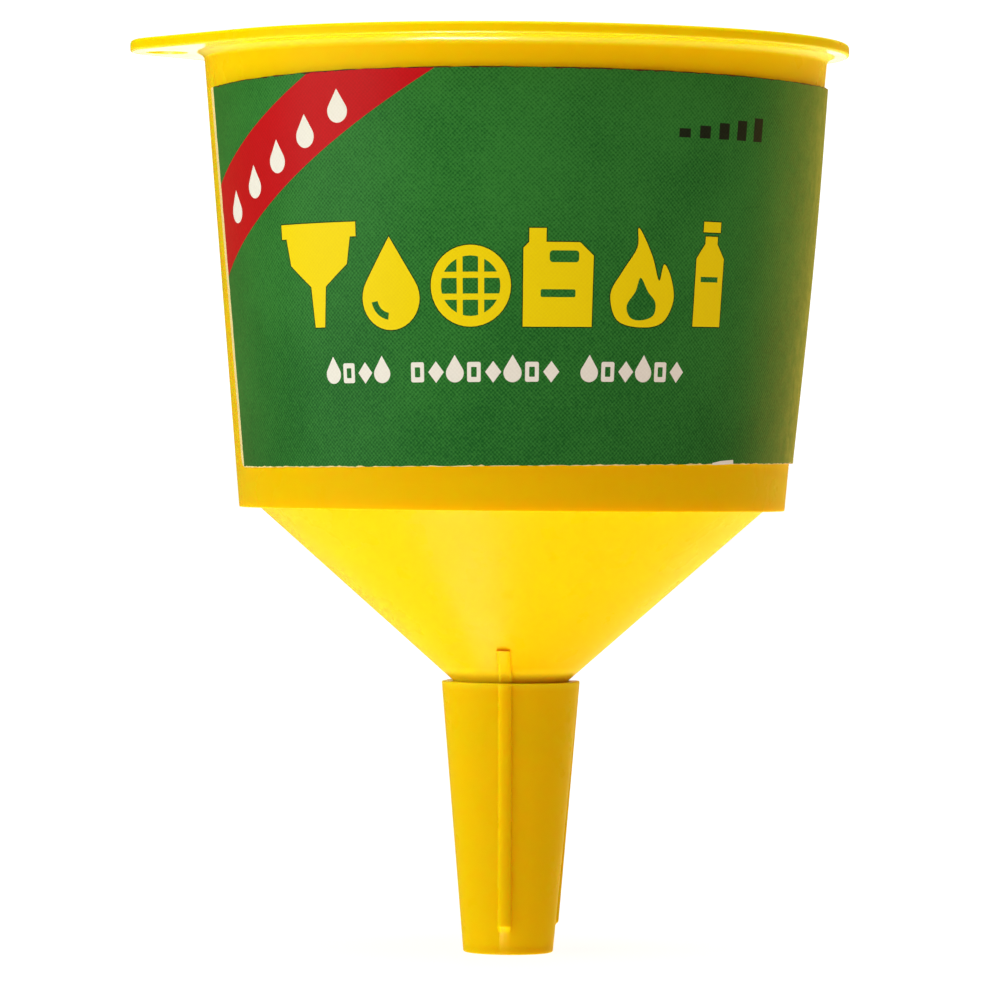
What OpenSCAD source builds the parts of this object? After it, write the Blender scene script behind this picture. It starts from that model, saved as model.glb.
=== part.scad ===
// Filling funnel with a lift-out strainer screen, moulded in plastic.
// The origin is the centre of the spout's tip. +Z points up, out of the bowl's mouth.
// The hanging ear points to -X and the label faces -Y. Dimensions are in millimetres.

/* [Bowl] */
// Height from the spout's tip to the top of the flange
overall_h = 114.3; // [113:0.1:118]
// Outer radius of the bowl's wall at the flange
bowl_top_r = 39.2; // [38.6:0.1:40]
// Outer radius of the bowl's wall at its foot
bowl_foot_r = 34.3; // [34.2:0.1:34.8]
// Height of the bowl's foot above the spout's tip
foot_z = 55.8; // [55:0.1:56.5]
// Thickness of the moulded wall, measured square to its surface
wall = 1.3; // [1.2:0.05:1.4]

/* [Flange and ear] */
// Outer radius of the round flange
flange_r = 41.9; // [41.6:0.1:43]
// Thickness of the flange
flange_t = 1.45; // [1.2:0.05:1.8]
// Radius of the cove between the flange and the wall
cove_r = 1.15; // [0.6:0.05:1.4]
// Radius of the hanging ear's rounded end
ear_r = 13.3; // [12:0.1:14]
// Distance from the funnel's axis to the centre of the ear's rounded end
ear_x = 35.2; // [34:0.1:37]
// Distance from the funnel's axis to the centre of the hanging hole
hang_hole_x = 43.9; // [43.4:0.1:44.4]
// Radius of the hanging hole
hang_hole_r = 2.4; // [2:0.1:2.8]

/* [Cone] */
// Outer radius of the cone where it meets the ledge
cone_top_r = 31.7; // [31.4:0.1:32]
// Outer radius of the neck at the foot of the cone
neck_r = 7.15; // [7:0.05:7.3]

/* [Spout] */
// Height of the spout, which is also the height of the cone's foot
spout_h = 34.1; // [33:0.1:35]
// Outer radius of the spout at its top
spout_top_r = 8.65; // [8.5:0.05:9]
// Outer radius of the spout at its tip
spout_tip_r = 5.65; // [5.5:0.05:5.8]
// Radius of the spout's bore at its tip
bore_tip_r = 4.5; // [4.3:0.05:4.6]
// Length of the neck inside the spout
neck_len = 8; // [6:0.5:10]
// Radial overlap of a press fit
press = 0.04; // [0.02:0.01:0.06]

/* [Ribs] */
// Angle of the first rib about the axis, from +X
rib_angle = -94.5; // [-180:0.5:180]
// Width of a rib
rib_w = 1.7; // [1.2:0.1:2.2]
// Height of a rib above the spout
rib_h = 0.93; // [0.6:0.01:1.2]
// Height of a rib's lower end above the spout's tip
rib_low_z = 2.6; // [1.5:0.1:5]
// Height of the upper end of the low ridges on the cone, in line with the ribs
ridge_high_z = 38.3; // [37:0.1:40]
// How far a ridge stands out from the cone, measured level
ridge_h = 0.6; // [0.4:0.05:0.9]

/* [Strainer] */
// Outer radius of the strainer's frame
frame_r = 32.8; // [32.6:0.05:32.85]
// Radius of the frame's open middle
frame_hole_r = 29.8; // [29:0.1:30]
// Height of the frame's upstand
frame_h = 3.5; // [3:0.1:5]
// Thickness of the frame's foot and of its bars
frame_foot_t = 1; // [0.8:0.1:1.2]
// Thickness of the frame's upstand
frame_rim_t = 1; // [0.8:0.1:1.1]
// Width of the frame's cross bars
bar_w = 1.6; // [1.2:0.1:2.4]
// Radius of the disc where the cross bars meet
hub_r = 3; // [2:0.1:5]
// Height of the clamp ring
clamp_h = 1.5; // [1.2:0.1:2.2]
// Height of the finger tabs above the clamp ring
tab_h = 6; // [4:0.5:8]
// Angle that each finger tab covers
tab_sweep = 20; // [14:1:28]
// Depth of the finger tab's inward lip
tab_lip = 1.8; // [1:0.1:2.5]

/* [Screen] */
// Diameter of the screen's wires
wire_d = 0.3; // [0.2:0.05:0.3]
// Distance between neighbouring wires
wire_pitch = 1.25; // [1:0.05:2]

/* [Label] */
// Height of the label's lower edge at the front
label_low_z = 61.5; // [60:0.1:64]
// Height of the label's upper edge at the front
label_high_z = 109.2; // [104:0.1:109.6]
// Thickness of the paper
label_t = 0.25; // [0.1:0.05:0.4]
// Thickness of the glue under the paper
glue_t = 0.05; // [0.02:0.01:0.1]
// Half of the bare gap between the label's ends, under the ear
label_gap = 14.5; // [5:0.5:40]
// Tilt of the label on the bowl
label_tilt = 0.85; // [0:0.05:1]

/* [Hidden] */
$fn = 128;

// Slack that lets one shape run through another before a cut or a join
eps = 0.3;
// Height of the underside of the flange
flange_low_z = overall_h - flange_t;
// How much the bowl's outer radius grows for each millimetre of height
bowl_slope = (bowl_top_r - bowl_foot_r) / (flange_low_z - foot_z);
// The same for the cone
cone_slope = (cone_top_r - neck_r) / (foot_z - spout_h);
// Thickness of the bowl's wall and of the cone, measured level
bowl_level_t = wall * sqrt(1 + bowl_slope * bowl_slope);
cone_level_t = wall * sqrt(1 + cone_slope * cone_slope);
// Height of the ledge's upper face, where the strainer rests
ledge_z = foot_z + wall;

// The neck narrows a little so that the spout can be pressed on
neck_low_z = spout_h - neck_len;
neck_low_r = neck_r - 0.15;
neck_bore_r = neck_r - 1.2;
neck_bore_low_r = neck_low_r - 1.1;

// Radii of the spout's bore just below the neck
socket_floor_z = neck_low_z - 0.1;
bore_top_r = neck_bore_low_r;

// The ear's straight sides touch both circles of the outline at this angle
ear_tangent = acos((flange_r - ear_r) / ear_x);

// Heights of the layers of the strainer
screen_z = ledge_z + frame_foot_t;
clamp_z = screen_z + 2 * wire_d;
clamp_r = frame_r - frame_rim_t + press;
screen_r = frame_r - frame_rim_t - 0.15;
tab_t = 1.2;
wire_count = floor(screen_r / wire_pitch - 0.5);

plastic = "#ffd814";
brass = "#b8923a";
print_green = "#2a7a33";

// Outer radius of the bowl's wall, of the cone and of the spout at height z
function bowl_r(z) = bowl_foot_r + (z - foot_z) * bowl_slope;
function cone_r(z) = neck_r + (z - spout_h) * cone_slope;
function spout_r(z) = spout_tip_r + (spout_top_r - spout_tip_r) * z / spout_h;

// Height at which the inside of the cone meets the neck's bore
cone_inside_z = spout_h + (neck_bore_r - neck_r + cone_level_t) / cone_slope;

// Half section of the bowl, ledge, cone and neck, as one wall of even thickness
module bowl_section() {
    polygon([
        [bowl_r(overall_h) - bowl_level_t, overall_h],
        [bowl_r(overall_h), overall_h],
        [bowl_foot_r, foot_z],
        [cone_top_r, foot_z],
        [neck_r, spout_h],
        [neck_low_r, neck_low_z],
        [neck_bore_low_r, neck_low_z],
        [neck_bore_r, cone_inside_z],
        [cone_r(ledge_z) - cone_level_t, ledge_z],
        [bowl_r(ledge_z) - bowl_level_t, ledge_z]
    ]);
}

// Half section of the rounded corner under the flange
module cove_section() {
    translate([bowl_r(flange_low_z) - eps, flange_low_z - cove_r])
        difference() {
            square([cove_r + eps, cove_r + eps]);
            translate([cove_r + eps, 0])
                circle(r = cove_r);
        }
}

// Outline of the flange and the ear, seen from above
module flange_outline() {
    ear_side = [-cos(ear_tangent), sin(ear_tangent)];
    circle(r = flange_r);
    translate([-ear_x, 0])
        circle(r = ear_r);
    polygon([
        flange_r * ear_side,
        [-ear_x, 0] + ear_r * ear_side,
        [-ear_x, 0] + ear_r * [ear_side[0], -ear_side[1]],
        flange_r * [ear_side[0], -ear_side[1]]
    ]);
}

// Side view of one low ridge on the foot of the cone
module ridge_section() {
    sunk = 0.5;
    low_z = spout_h + 0.1;
    polygon([
        [cone_r(low_z) - sunk, low_z],
        [cone_r(low_z) + ridge_h, low_z],
        [cone_r(ridge_high_z) + ridge_h, ridge_high_z],
        [cone_r(ridge_high_z) - sunk, ridge_high_z]
    ]);
}

// A side view swept to the width of a rib, three times round the axis
module three_ribs() {
    for (i = [0:2])
        rotate([0, 0, rib_angle + 120 * i])
            rotate([90, 0, 0])
                linear_extrude(rib_w, center = true)
                    children();
}

module funnel_bowl() {
    color(plastic)
        difference() {
            union() {
                rotate_extrude()
                    bowl_section();
                three_ribs()
                    ridge_section();
                rotate_extrude()
                    cove_section();
                difference() {
                    translate([0, 0, flange_low_z])
                        linear_extrude(flange_t)
                            flange_outline();
                    translate([0, 0, flange_low_z - eps])
                        cylinder(r = bowl_r(flange_low_z) - bowl_level_t / 2, h = flange_t + 2 * eps);
                }
            }
            translate([-hang_hole_x, 0, flange_low_z - eps])
                cylinder(r = hang_hole_r, h = flange_t + 2 * eps);
        }
}

// Side view of one rib, from its chamfered lower end to the top of the spout
module rib_section() {
    sunk = 0.5;
    chamfer_z = rib_low_z + 1.1;
    polygon([
        [spout_r(rib_low_z) - sunk, rib_low_z],
        [spout_r(rib_low_z), rib_low_z],
        [spout_r(chamfer_z) + rib_h, chamfer_z],
        [spout_top_r + rib_h, spout_h],
        [spout_top_r - sunk, spout_h]
    ]);
}

// The space that the neck takes up inside the spout
module neck_space() {
    rotate_extrude()
        polygon([
            [0, socket_floor_z],
            [neck_low_r - press, socket_floor_z],
            [neck_r - press, spout_h + eps],
            [0, spout_h + eps]
        ]);
}

module spout_sleeve() {
    color(plastic)
        difference() {
            union() {
                cylinder(r1 = spout_tip_r, r2 = spout_top_r, h = spout_h);
                three_ribs()
                    rib_section();
            }
            neck_space();
            rotate_extrude()
                polygon([
                    [0, -eps],
                    [bore_tip_r, -eps],
                    [bore_tip_r, 0],
                    [bore_top_r, socket_floor_z],
                    [bore_top_r, socket_floor_z + eps],
                    [0, socket_floor_z + eps]
                ]);
        }
}

// Ring with an upstand and four bars that carry the screen
module strainer_frame() {
    color(plastic) {
        rotate_extrude()
            polygon([
                [frame_hole_r, ledge_z],
                [frame_r, ledge_z],
                [frame_r, ledge_z + frame_h],
                [frame_r - frame_rim_t, ledge_z + frame_h],
                [frame_r - frame_rim_t, screen_z],
                [frame_hole_r, screen_z]
            ]);
        translate([0, 0, ledge_z])
            cylinder(r = hub_r, h = frame_foot_t);
        for (angle = [45, 135])
            rotate([0, 0, angle])
                translate([-frame_hole_r - eps, -bar_w / 2, ledge_z])
                    cube([2 * (frame_hole_r + eps), bar_w, frame_foot_t]);
    }
}

// Parallel wires that fill the screen's circle, along X at height z
module wire_layer(z) {
    for (i = [-wire_count:wire_count]) {
        offset_y = i * wire_pitch;
        half_len = sqrt(screen_r * screen_r - offset_y * offset_y);
        translate([-half_len, offset_y, z])
            rotate([0, 90, 0])
                cylinder(d = wire_d, h = 2 * half_len, $fn = 24);
    }
}

module screen_weft_wires() {
    color(brass)
        wire_layer(screen_z + wire_d / 2);
}

module screen_warp_wires() {
    color(brass)
        rotate([0, 0, 90])
            wire_layer(screen_z + 1.5 * wire_d);
}

// One finger tab: an upright strip with a lip that points inwards
module finger_tab() {
    top_z = clamp_z + clamp_h + tab_h;
    rotate([0, 0, -tab_sweep / 2])
        rotate_extrude(angle = tab_sweep)
            polygon([
                [clamp_r - 0.2, clamp_z + clamp_h / 2],
                [clamp_r - 0.2, top_z],
                [clamp_r - 0.2 - tab_t - tab_lip, top_z],
                [clamp_r - 0.2 - tab_t - tab_lip, top_z - tab_t],
                [clamp_r - 0.2 - tab_t, top_z - tab_t],
                [clamp_r - 0.2 - tab_t, clamp_z + clamp_h / 2]
            ]);
}

// Ring that holds the screen's edge down in the frame
module strainer_clamp_ring() {
    color(plastic) {
        rotate_extrude()
            translate([frame_hole_r, clamp_z])
                square([clamp_r - frame_hole_r, clamp_h]);
        for (side = [0, 180])
            rotate([0, 0, side])
                finger_tab();
    }
}

// Paper band round the bowl, trimmed by two level planes that are tilted together
module label() {
    glue_r = glue_t * sqrt(1 + bowl_slope * bowl_slope);
    paper_r = label_t * sqrt(1 + bowl_slope * bowl_slope);
    low = label_low_z - 2;
    high = label_high_z + 2;
    color(print_green)
        intersection() {
            rotate([0, 0, label_gap - 180])
                rotate_extrude(angle = 360 - 2 * label_gap)
                    polygon([
                        [bowl_r(low) + glue_r, low],
                        [bowl_r(low) + glue_r + paper_r, low],
                        [bowl_r(high) + glue_r + paper_r, high],
                        [bowl_r(high) + glue_r, high]
                    ]);
            rotate([0, -label_tilt, 0])
                translate([-50, -50, label_low_z])
                    cube([100, 100, label_high_z - label_low_z]);
        }
}

funnel_bowl();
spout_sleeve();
strainer_frame();
screen_weft_wires();
screen_warp_wires();
strainer_clamp_ring();
label();
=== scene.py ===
"""The looks of the filling funnel: moulded yellow plastic, a printed paper label and a woven brass strainer.

Lengths are in metres unless a name ends in _mm. The origin is the centre of the spout's tip, +Z is up, the
hanging ear points to -X and the printed front faces -Y. Angles round the bowl are counted from the front,
towards +X.
"""

import math
import random

import bpy
import bmesh
from mathutils import Matrix, Vector
from mathutils.geometry import delaunay_2d_cdt


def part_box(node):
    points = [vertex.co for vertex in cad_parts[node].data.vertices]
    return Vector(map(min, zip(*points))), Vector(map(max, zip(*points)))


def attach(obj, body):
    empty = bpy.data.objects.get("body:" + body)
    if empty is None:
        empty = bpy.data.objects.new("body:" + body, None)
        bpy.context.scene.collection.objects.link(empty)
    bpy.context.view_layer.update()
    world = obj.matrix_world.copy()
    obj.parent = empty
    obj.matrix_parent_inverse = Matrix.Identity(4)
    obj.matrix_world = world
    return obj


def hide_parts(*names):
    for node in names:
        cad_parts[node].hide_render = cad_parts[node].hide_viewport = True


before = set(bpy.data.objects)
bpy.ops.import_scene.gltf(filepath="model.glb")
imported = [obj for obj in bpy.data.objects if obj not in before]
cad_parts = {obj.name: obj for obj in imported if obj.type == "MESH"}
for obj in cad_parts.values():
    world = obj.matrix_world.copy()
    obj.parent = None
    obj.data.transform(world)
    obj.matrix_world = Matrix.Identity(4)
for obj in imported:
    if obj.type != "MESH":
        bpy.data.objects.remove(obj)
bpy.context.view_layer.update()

MM = 0.001

# ---- Sizes read from the frame ------------------------------------------------------------------------

bowl_low, bowl_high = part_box("funnel_bowl")
frame_low, frame_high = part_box("strainer_frame")
clamp_low, clamp_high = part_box("strainer_clamp_ring")
weft_low, weft_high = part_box("screen_weft_wires")
warp_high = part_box("screen_warp_wires")[1]

TOP_Z = bowl_high.z
FLANGE_R = bowl_high.x
EAR_REACH = -bowl_low.x
NECK_LOW_Z = bowl_low.z

# ---- Sizes shared with the CAD source -----------------------------------------------------------------

WALL = 1.3 * MM
FLANGE_T = 1.45 * MM
BOWL_TOP_R = 39.2 * MM
BOWL_FOOT_R = 34.3 * MM
FOOT_Z = 55.8 * MM
CONE_TOP_R = 31.7 * MM
NECK_R = 7.15 * MM
SPOUT_H = 34.1 * MM
NECK_TAPER = 0.15 * MM
NECK_TOP_WALL = 1.2 * MM
NECK_LOW_WALL = 1.1 * MM
SPOUT_TOP_R = 8.65 * MM
SPOUT_TIP_R = 5.65 * MM
BORE_TIP_R = 4.5 * MM
EAR_R = 13.3 * MM
EAR_X = EAR_REACH - EAR_R
HANG_HOLE_X = 43.9 * MM
HANG_HOLE_R = 2.4 * MM
RIB_W = 1.7 * MM
RIB_H = 0.93 * MM
RIB_LOW_Z = 2.6 * MM
RIDGE_H = 0.6 * MM
RIDGE_HIGH_Z = 38.3 * MM
RIB_ANGLES = [math.radians(-94.5 + 120 * i) for i in range(3)]
FRAME_HOLE_R = 29.8 * MM
FRAME_FOOT_T = 1.0 * MM
RIM_T = 1.0 * MM
HUB_R = 3 * MM
BAR_W = 1.6 * MM
CLAMP_T = 1.5 * MM
TAB_SWEEP = math.radians(20)
WIRE_PITCH = 1.25 * MM
LABEL_GAP = math.radians(14.5)
LABEL_TILT = math.radians(0.85)
LABEL_LOW_Z = 61.5 * MM
LABEL_HIGH_Z = 109.2 * MM
LOW_EDGE_DROP = 0.2 * MM

FLANGE_LOW_Z = TOP_Z - FLANGE_T
BOWL_SLOPE = (BOWL_TOP_R - BOWL_FOOT_R) / (FLANGE_LOW_Z - FOOT_Z)
CONE_SLOPE = (CONE_TOP_R - NECK_R) / (FOOT_Z - SPOUT_H)
LEDGE_Z = FOOT_Z + WALL


def bowl_r(z):
    return BOWL_FOOT_R + (z - FOOT_Z) * BOWL_SLOPE


def cone_r(z):
    return NECK_R + (z - SPOUT_H) * CONE_SLOPE


def spout_r(z):
    return SPOUT_TIP_R + (SPOUT_TOP_R - SPOUT_TIP_R) * z / SPOUT_H


# ---- Camera -------------------------------------------------------------------------------------------

CAMERA_FROM = Vector((-1.5, -762, 63.6)) * MM
CAMERA_AT = Vector((-1.5, 0, 56.9)) * MM
CAMERA_ROLL = 0.0086
LENS_MM = 217.8
SENSOR_MM = 36


def make_camera():
    """A long lens almost level with the label's lower edge, rolled by half a degree."""
    data = bpy.data.cameras.new("camera")
    data.sensor_width = SENSOR_MM
    data.lens = LENS_MM
    data.clip_start = 0.05
    data.clip_end = 100
    camera = bpy.data.objects.new("camera", data)
    bpy.context.scene.collection.objects.link(camera)
    forward = (CAMERA_AT - CAMERA_FROM).normalized()
    right = forward.cross(Vector((0, 0, 1))).normalized()
    up = right.cross(forward)
    rolled_right = right * math.cos(CAMERA_ROLL) + up * math.sin(CAMERA_ROLL)
    rolled_up = up * math.cos(CAMERA_ROLL) - right * math.sin(CAMERA_ROLL)
    turn = Matrix((rolled_right, rolled_up, -forward)).transposed()
    camera.matrix_world = Matrix.Translation(CAMERA_FROM) @ turn.to_4x4()
    bpy.context.scene.camera = camera


make_camera()

# ---- Mesh helpers -------------------------------------------------------------------------------------


def new_solid(name, vertices, faces):
    """A closed mesh, shaded smooth, whose faces all point outwards."""
    mesh = bpy.data.meshes.new(name)
    mesh.from_pydata(vertices, [], faces)
    solid = bpy.data.objects.new(name, mesh)
    bpy.context.scene.collection.objects.link(solid)
    turn_outwards(solid)
    return solid


def new_piece(name, vertices, faces, body, node):
    """A solid that rides on a body and stands for a CAD node."""
    piece = new_solid(name, vertices, faces)
    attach(piece, body)
    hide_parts(node)
    return piece


def turn_outwards(piece):
    """Makes every face point out of the solid, and shades it smooth."""
    mesh = bmesh.new()
    mesh.from_mesh(piece.data)
    bmesh.ops.recalc_face_normals(mesh, faces=mesh.faces)
    for face in mesh.faces:
        face.smooth = True
    mesh.to_mesh(piece.data)
    mesh.free()
    piece.data.set_sharp_from_angle(angle=math.radians(45))


def apply_modifier(piece, kind, **settings):
    """Adds a modifier, sets it up and applies it."""
    modifier = piece.modifiers.new(kind.lower(), kind)
    for key, value in settings.items():
        setattr(modifier, key, value)
    bpy.context.view_layer.objects.active = piece
    bpy.ops.object.modifier_apply(modifier=modifier.name)


def combine(piece, other, operation):
    """Joins another solid to a piece, or cuts it out, and removes that other solid."""
    apply_modifier(piece, "BOOLEAN", object=other, operation=operation, solver="EXACT")
    bpy.data.objects.remove(other)


def even_shading(piece):
    """Lets large flat faces keep their own shading, so that only the rounded edges shade round."""
    piece.data.set_sharp_from_angle(angle=math.radians(45))
    piece.modifiers.new("even_shading", "WEIGHTED_NORMAL").keep_sharp = True


def rounded(corners, steps=6):
    """A closed outline from (r, z, radius) corners: each turns into an arc, or stays sharp at 0."""
    points = []
    count = len(corners)
    for i, (r, z, radius) in enumerate(corners):
        here = Vector((r, z))
        before = Vector(corners[i - 1][:2]) - here
        after = Vector(corners[(i + 1) % count][:2]) - here
        if radius <= 0:
            points.append(tuple(here))
            continue
        half = before.angle(after) / 2
        reach = radius / math.tan(half)
        middle = here + (before.normalized() + after.normalized()).normalized() * (radius / math.sin(half))
        start = here + before.normalized() * reach - middle
        end = here + after.normalized() * reach - middle
        sweep = start.angle_signed(end)
        for k in range(steps + 1):
            turn = Matrix.Rotation(-sweep * k / steps, 2)
            points.append(tuple(middle + turn @ start))
    return points


def ring_mesh(section, columns, reach=None):
    """Vertices and faces of a closed section swept once round the axis."""
    vertices = []
    faces = []
    count = len(section)
    for i in range(columns):
        angle = 2 * math.pi * i / columns
        for r, z in section:
            out = reach(angle, r) if reach else r
            vertices.append((out * math.cos(angle), out * math.sin(angle), z))
        j = (i + 1) % columns
        for k in range(count):
            m = (k + 1) % count
            faces.append((i * count + k, j * count + k, j * count + m, i * count + m))
    return vertices, faces


def sector_mesh(section, start, end, columns):
    """Vertices and faces of a closed section swept part of the way round the axis."""
    vertices = []
    faces = []
    count = len(section)
    for i in range(columns + 1):
        angle = start + (end - start) * i / columns
        for r, z in section:
            vertices.append((r * math.cos(angle), r * math.sin(angle), z))
    for i in range(columns):
        for k in range(count):
            m = (k + 1) % count
            faces.append((i * count + k, (i + 1) * count + k, (i + 1) * count + m, i * count + m))
    faces.append(tuple(range(count)))
    faces.append(tuple(range(columns * count, (columns + 1) * count)))
    return vertices, faces


# ---- Bowl ---------------------------------------------------------------------------------------------

ROUND_COLUMNS = 360
EDGE_R = 0.45 * MM
COVE_R = 1.15 * MM
RIDGE_ROUND_R = 0.5 * MM
RIB_ROUND_R = 0.7 * MM
COVE_LOW_Z = FLANGE_LOW_Z - 1.2 * MM
FACING_DOWN = -0.3


def ear_outline(angle):
    """Distance from the axis to the edge of the flange or the ear, at an angle from +X."""
    off = abs(angle % (2 * math.pi) - math.pi)
    tangent = math.acos((FLANGE_R - EAR_R) / EAR_X)
    tip = math.atan2(EAR_R * math.sin(tangent), EAR_X + EAR_R * math.cos(tangent))
    if off < tip:
        return EAR_X * math.cos(off) + math.sqrt(EAR_R**2 - (EAR_X * math.sin(off)) ** 2)
    if off < tangent:
        return FLANGE_R / math.cos(tangent - off)
    return FLANGE_R


def hang_hole_cutter():
    """A spool that cuts the ear's hole and chamfers both of its edges."""
    flare = 0.3 * MM
    spool = rounded([
        (0, FLANGE_LOW_Z - MM, 0),
        (HANG_HOLE_R + flare + MM, FLANGE_LOW_Z - MM, 0),
        (HANG_HOLE_R + flare, FLANGE_LOW_Z, 0),
        (HANG_HOLE_R, FLANGE_LOW_Z + flare, 0),
        (HANG_HOLE_R, TOP_Z - flare, 0),
        (HANG_HOLE_R + flare, TOP_Z, 0),
        (HANG_HOLE_R + flare + MM, TOP_Z + MM, 0),
        (0, TOP_Z + MM, 0),
    ])
    vertices, faces = ring_mesh(spool, 48)
    return new_solid("cutter", [(x - HANG_HOLE_X, y, z) for x, y, z in vertices], faces)


def make_bowl():
    """Flange, ear, wall, ledge, cone and neck as one moulding with rounded edges."""
    level_wall = WALL * math.sqrt(1 + BOWL_SLOPE**2)
    level_cone = WALL * math.sqrt(1 + CONE_SLOPE**2)
    neck_low_r = NECK_R - NECK_TAPER
    neck_bore_r = NECK_R - NECK_TOP_WALL
    neck_bore_low_r = neck_low_r - NECK_LOW_WALL
    cone_inside_z = SPOUT_H + (neck_bore_r - NECK_R + level_cone) / CONE_SLOPE
    section = rounded([
        (bowl_r(TOP_Z) - level_wall, TOP_Z, 0.5 * MM),
        (FLANGE_R, TOP_Z, EDGE_R),
        (FLANGE_R, FLANGE_LOW_Z, 0.3 * MM),
        (bowl_r(FLANGE_LOW_Z), FLANGE_LOW_Z, COVE_R),
        (BOWL_FOOT_R, FOOT_Z, 0.15 * MM),
        (CONE_TOP_R, FOOT_Z, 0.35 * MM),
        (NECK_R, SPOUT_H, 0.1 * MM),
        (neck_low_r, NECK_LOW_Z, 0.15 * MM),
        (neck_bore_low_r, NECK_LOW_Z, 0.15 * MM),
        (neck_bore_r, cone_inside_z, 1.5 * MM),
        (cone_r(LEDGE_Z) - level_cone, LEDGE_Z, 0.3 * MM),
        (bowl_r(LEDGE_Z) - level_wall, LEDGE_Z, 0.4 * MM),
    ])
    rim_from = FLANGE_R - EDGE_R - 0.01 * MM

    def reach(angle, r):
        """Only the flange's rim follows the ear's outline."""
        return r + ear_outline(angle) - FLANGE_R if r > rim_from else r

    vertices, faces = ring_mesh(section, ROUND_COLUMNS, reach)
    bowl = new_piece("funnel_bowl_moulding", vertices, faces, "funnel", "funnel_bowl")
    combine(bowl, hang_hole_cutter(), "DIFFERENCE")
    for angle in RIB_ANGLES:
        combine(bowl, rib_solid(angle, cone_ridge_sides(), RIDGE_ROUND_R), "UNION")
    even_shading(bowl)
    return bowl


# ---- Spout --------------------------------------------------------------------------------------------


def rib_solid(angle, sides, round_r):
    """A rib with a rounded back, from pairs of (r, z) on its back and under the surface it stands on."""
    half = RIB_W / 2
    steps = 6
    across = []
    for side in (-1, 1):
        for k in range(steps + 1):
            turn = math.pi / 2 * (k if side < 0 else steps - k) / steps
            offset = side * (half - round_r + round_r * math.cos(turn))
            across.append((offset, round_r * (1 - math.sin(turn))))
    vertices = []
    faces = []
    for (back_r, back_z), (in_r, in_z) in sides:
        depth = back_r - in_r - 0.05 * MM
        for offset, drop in across:
            vertices.append((offset, back_r - min(drop, depth), back_z))
        vertices.append((half, in_r, in_z))
        vertices.append((-half, in_r, in_z))
    count = len(across) + 2
    for i in range(len(sides) - 1):
        for k in range(count):
            m = (k + 1) % count
            faces.append((i * count + k, i * count + m, (i + 1) * count + m, (i + 1) * count + k))
    faces.append(tuple(range(count)))
    faces.append(tuple(range((len(sides) - 1) * count, len(sides) * count)))
    turned = []
    for offset, r, z in vertices:
        x = r * math.cos(angle) - offset * math.sin(angle)
        y = r * math.sin(angle) + offset * math.cos(angle)
        turned.append((x, y, z))
    return new_solid("rib", turned, faces)


def spout_rib_sides():
    """The side view of a rib on the spout: a chamfered foot, a straight back and a rounded upper corner."""
    sunk = 0.45 * MM
    chamfer_z = RIB_LOW_Z + 1.1 * MM
    corner = 0.2 * MM
    sides = [((spout_r(RIB_LOW_Z) - 0.02 * MM, RIB_LOW_Z), (spout_r(RIB_LOW_Z) - sunk, RIB_LOW_Z))]
    for k in range(5):
        share = k / 4
        z = chamfer_z - 0.25 * MM * (1 - share)
        r = spout_r(z) + RIB_H - 0.2 * MM * (1 - share) ** 2
        sides.append(((r, z), (spout_r(z) - sunk, z)))
    for k in range(5):
        turn = math.pi / 2 * k / 4
        z = SPOUT_H - corner + corner * math.sin(turn) - 0.01 * MM
        sides.append(((SPOUT_TOP_R + RIB_H - corner + corner * math.cos(turn), z), (SPOUT_TOP_R - sunk, z)))
    return sides


def cone_ridge_sides():
    """The side view of a low ridge on the foot of the cone."""
    low_z = SPOUT_H + 0.1 * MM
    sides = []
    for z in (low_z, RIDGE_HIGH_Z - 0.15 * MM, RIDGE_HIGH_Z):
        drop = 0.12 * MM if z == RIDGE_HIGH_Z else 0
        sides.append(((cone_r(z) + RIDGE_H - drop, z), (cone_r(z) - 0.4 * MM, z)))
    return sides


def make_spout():
    """The tapered sleeve with its socket for the neck, its bore and three ribs."""
    socket_z = NECK_LOW_Z - 0.1 * MM
    bore_top_r = NECK_R - NECK_TAPER - NECK_LOW_WALL
    section = rounded([
        (SPOUT_TIP_R, 0, 0.25 * MM),
        (SPOUT_TOP_R, SPOUT_H, 0.12 * MM),
        (NECK_R, SPOUT_H, 0.05 * MM),
        (NECK_R - NECK_TAPER, socket_z, 0.05 * MM),
        (bore_top_r, socket_z, 0.2 * MM),
        (BORE_TIP_R, 0, 0.25 * MM),
    ])
    vertices, faces = ring_mesh(section, 240)
    spout = new_piece("spout_moulding", vertices, faces, "funnel", "spout_sleeve")
    for angle in RIB_ANGLES:
        combine(spout, rib_solid(angle, spout_rib_sides(), RIB_ROUND_R), "UNION")
    even_shading(spout)
    return spout


# ---- Strainer -----------------------------------------------------------------------------------------


def make_bar(length, width, low_z, high_z, angle):
    """A level bar through the axis, with its long edges rounded."""
    edge = 0.3 * MM
    outline = rounded([
        (-width / 2, low_z, 0.1 * MM),
        (width / 2, low_z, 0.1 * MM),
        (width / 2, high_z, edge),
        (-width / 2, high_z, edge),
    ])
    vertices = []
    faces = []
    count = len(outline)
    for along in (-length / 2, length / 2):
        for across, z in outline:
            x = along * math.cos(angle) - across * math.sin(angle)
            y = along * math.sin(angle) + across * math.cos(angle)
            vertices.append((x, y, z))
    for k in range(count):
        m = (k + 1) % count
        faces.append((k, m, count + m, count + k))
    faces.append(tuple(range(count)))
    faces.append(tuple(range(count, 2 * count)))
    return new_solid("bar", vertices, faces)


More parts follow.
